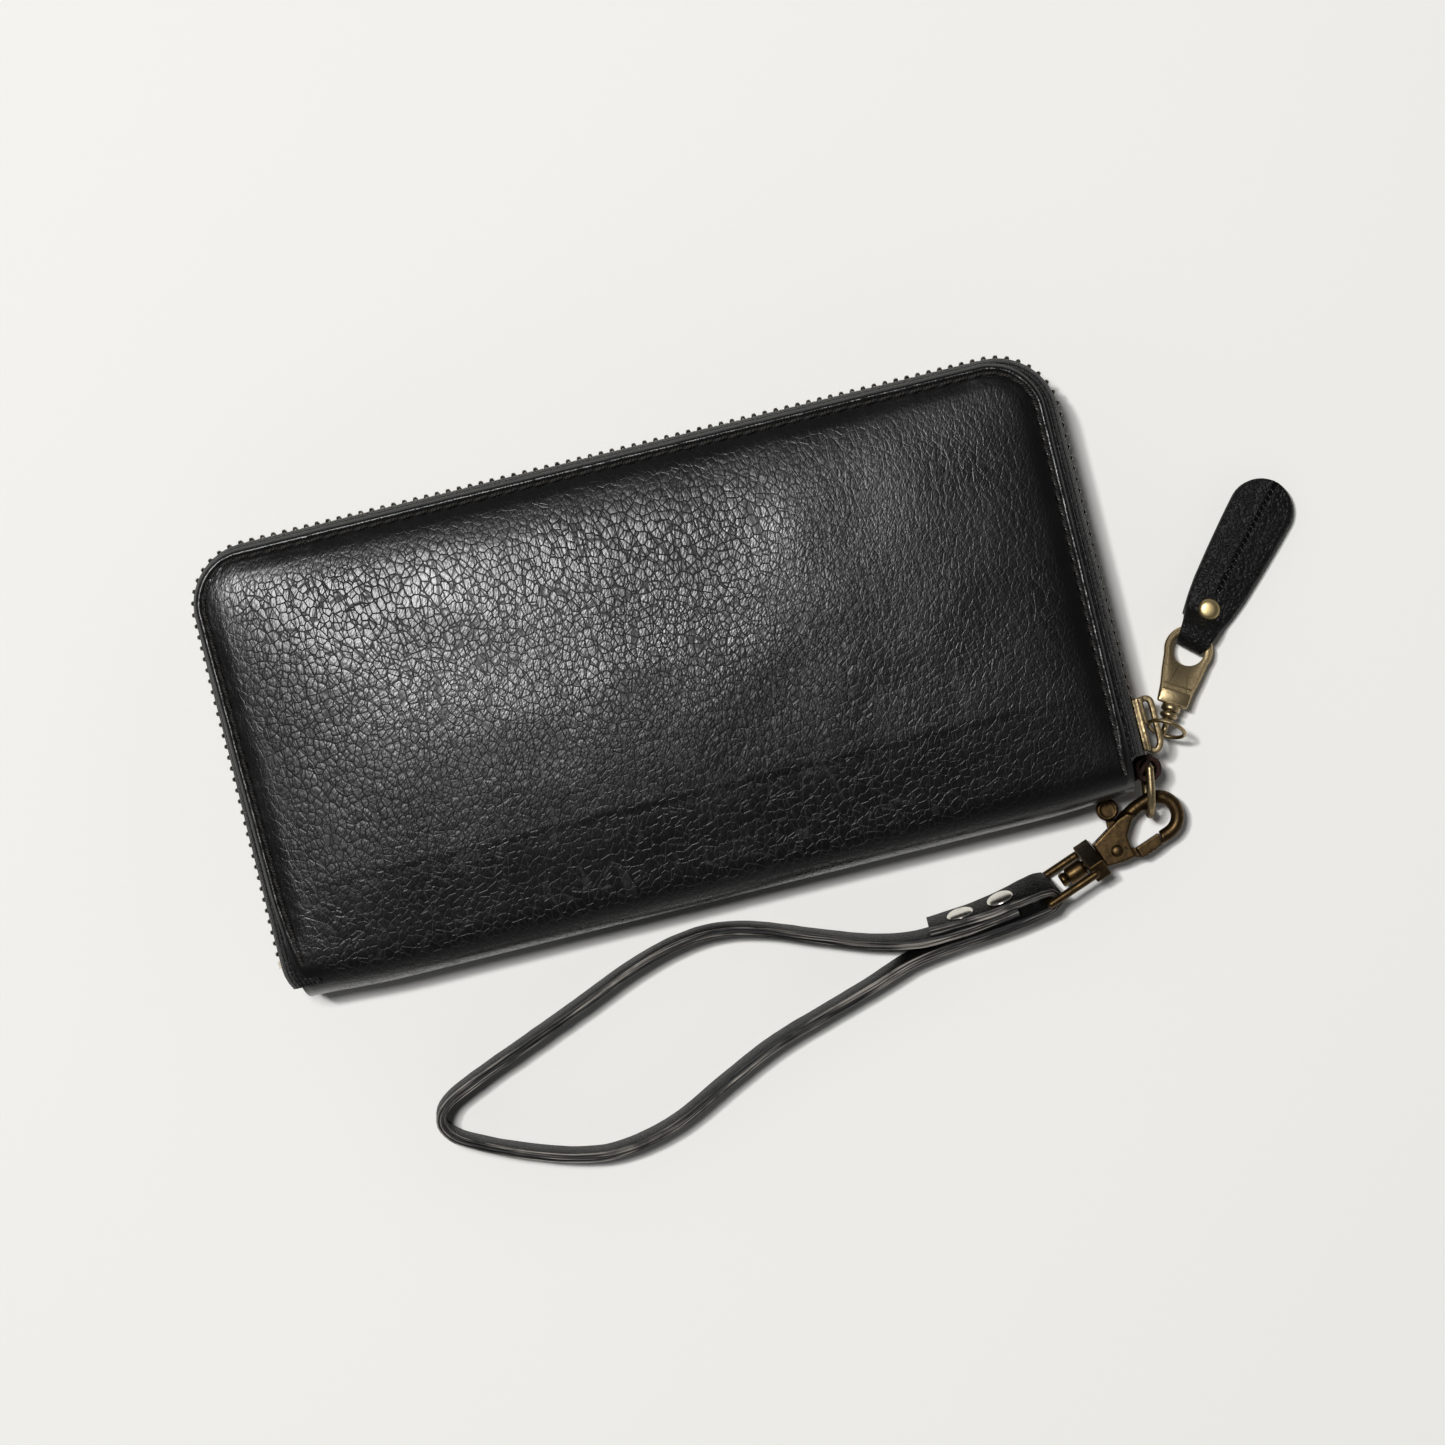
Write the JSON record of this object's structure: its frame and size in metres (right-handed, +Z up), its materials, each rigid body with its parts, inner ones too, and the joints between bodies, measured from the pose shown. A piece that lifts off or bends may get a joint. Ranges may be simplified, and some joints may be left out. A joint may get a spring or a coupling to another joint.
{
  "type": "wristlet wallet",
  "caption": "Long zip-round leather wallet lying on its back cover, with a leather-tabbed zip puller and a wrist strap hung from a D-ring by a swivel clasp.",
  "frame": {"origin": "middle of the back cover's resting face", "axes": "+X along the spine towards the slider, +Y from the spine to the long zipped side, +Z up through the closed wallet"},
  "size_m": [0.2451, 0.1541, 0.024],
  "materials": {
    "black_leather": "full-grain, pebbled, satin",
    "lining_leather": "smooth, matt",
    "strap_leather": "bridle strip with raw fibrous edges",
    "tab_leather": "soft, fine grain",
    "raw_leather": "black outside, raw reddish inside",
    "zip_tape": "woven polyester tape",
    "zip_metal": "antique nickel",
    "spring_steel": "bright wire",
    "antique_brass": "antiqued and relieved",
    "dark_brass": "antiqued dark",
    "bright_brass": "polished"
  },
  "bodies": {
    "back": {"back_cover": "black_leather", "back_lining": "lining_leather", "back_slot_1": "lining_leather", "back_slot_2": "lining_leather", "back_slot_3": "lining_leather", "back_slot_4": "lining_leather", "back_zip_tape": "zip_tape", "back_zip_teeth": "zip_metal", "back_end_stops": "zip_metal", "spine": "black_leather", "left_gusset": "lining_leather", "right_gusset": "lining_leather", "ring_loop": "raw_leather"},
    "front": {"front_cover": "black_leather", "front_lining": "lining_leather", "front_slot_1": "lining_leather", "front_slot_2": "lining_leather", "front_slot_3": "lining_leather", "front_slot_4": "lining_leather", "front_zip_tape": "zip_tape", "front_zip_teeth": "zip_metal", "front_end_stops": "zip_metal"},
    "divider": {"coin_pocket_back": "lining_leather", "coin_pocket_front": "lining_leather", "coin_zip_tape": "zip_tape", "coin_zip_teeth": "zip_metal"},
    "coin_slider": {"coin_slider": "antique_brass"},
    "coin_pull": {"coin_pull": "antique_brass"},
    "zip_slider": {"zip_slider": "antique_brass", "slider_crown": "antique_brass"},
    "pull_ring": {"pull_ring": "antique_brass"},
    "puller": {"pull_neck": "antique_brass", "pull_plate": "antique_brass"},
    "pull_tab": {"pull_tab": "tab_leather", "tab_rivet": "bright_brass"},
    "d_ring": {"d_ring": "antique_brass"},
    "clasp": {"clasp_body": "dark_brass", "swivel_post": "dark_brass", "gate_rivet": "dark_brass", "gate_spring": "spring_steel"},
    "gate": {"gate_lever": "dark_brass"},
    "bail": {"clasp_bail": "dark_brass"},
    "strap": {"wrist_strap": "strap_leather", "strap_rivets": "bright_brass"}
  },
  "joints": [
    {"name": "cover_open", "type": "hinge", "parent": "back", "child": "front", "pos_m": [0, -0.05, 0.012], "axis": [1, 0, 0], "range_deg": [0, 60], "deforming": ["spine", "left_gusset", "right_gusset"]},
    {"name": "divider_turn", "type": "hinge", "parent": "back", "child": "divider", "pos_m": [0, -0.05, 0.012], "axis": [1, 0, 0], "range_deg": [0, 30]},
    {"name": "coin_zip", "type": "slide", "parent": "divider", "child": "coin_slider", "axis": [-1, 0, 0], "range_m": [0, 0.13]},
    {"name": "coin_pull_lift", "type": "hinge", "parent": "coin_slider", "child": "coin_pull", "pos_m": [0.072, 0.0383, 0.0149], "axis": [0, 1, 0], "range_deg": [0, 12]},
    {"name": "zip_slide", "type": "slide", "parent": "back", "child": "zip_slider", "axis": [0, 1, 0], "range_m": [0, 0.06]},
    {"name": "pull_ring_turn", "type": "hinge", "parent": "zip_slider", "child": "pull_ring", "pos_m": [0.102, -0.0363, 0.012], "axis": [0, 0, 1], "range_deg": [-30, 12]},
    {"name": "puller_lift", "type": "hinge", "parent": "pull_ring", "child": "puller", "pos_m": [0.1053, -0.03833, 0.007], "axis": [0.8517, -0.524, 0], "range_deg": [0, 35]},
    {"name": "tab_lift", "type": "hinge", "parent": "puller", "child": "pull_tab", "pos_m": [0.11768, -0.0194, 0.00365], "axis": [0.7466, -0.6652, 0], "range_deg": [0, 30]},
    {"name": "d_ring_swing", "type": "hinge", "parent": "back", "child": "d_ring", "pos_m": [0.0992, -0.0459, 0.0084], "axis": [0, 0, 1], "range_deg": [0, 40]},
    {"name": "clasp_swing", "type": "hinge", "parent": "d_ring", "child": "clasp", "pos_m": [0.09743, -0.05615, 0.0064], "axis": [0, 0, 1], "range_deg": [0, 50]},
    {"name": "gate_open", "type": "hinge", "parent": "clasp", "child": "gate", "pos_m": [0.08829, -0.06228, 0.0064], "axis": [0, 0, 1], "range_deg": [0, 22], "stiffness_Nm_per_rad": 0.01, "springref_deg": -17.19},
    {"name": "clasp_swivel", "type": "hinge", "parent": "clasp", "child": "bail", "pos_m": [0.0828, -0.063, 0.0064], "axis": [0.9397, 0.342, 0], "continuous": true},
    {"name": "strap_swing", "type": "hinge", "parent": "bail", "child": "strap", "pos_m": [0.07002, -0.06765, 0.0064], "axis": [0, 0, 1], "range_deg": [0, 30], "deforming": ["wrist_strap"]}
  ],
  "couplings": [
    {"joint": "divider_turn", "follows": "cover_open", "ratio": 0.5}
  ]
}
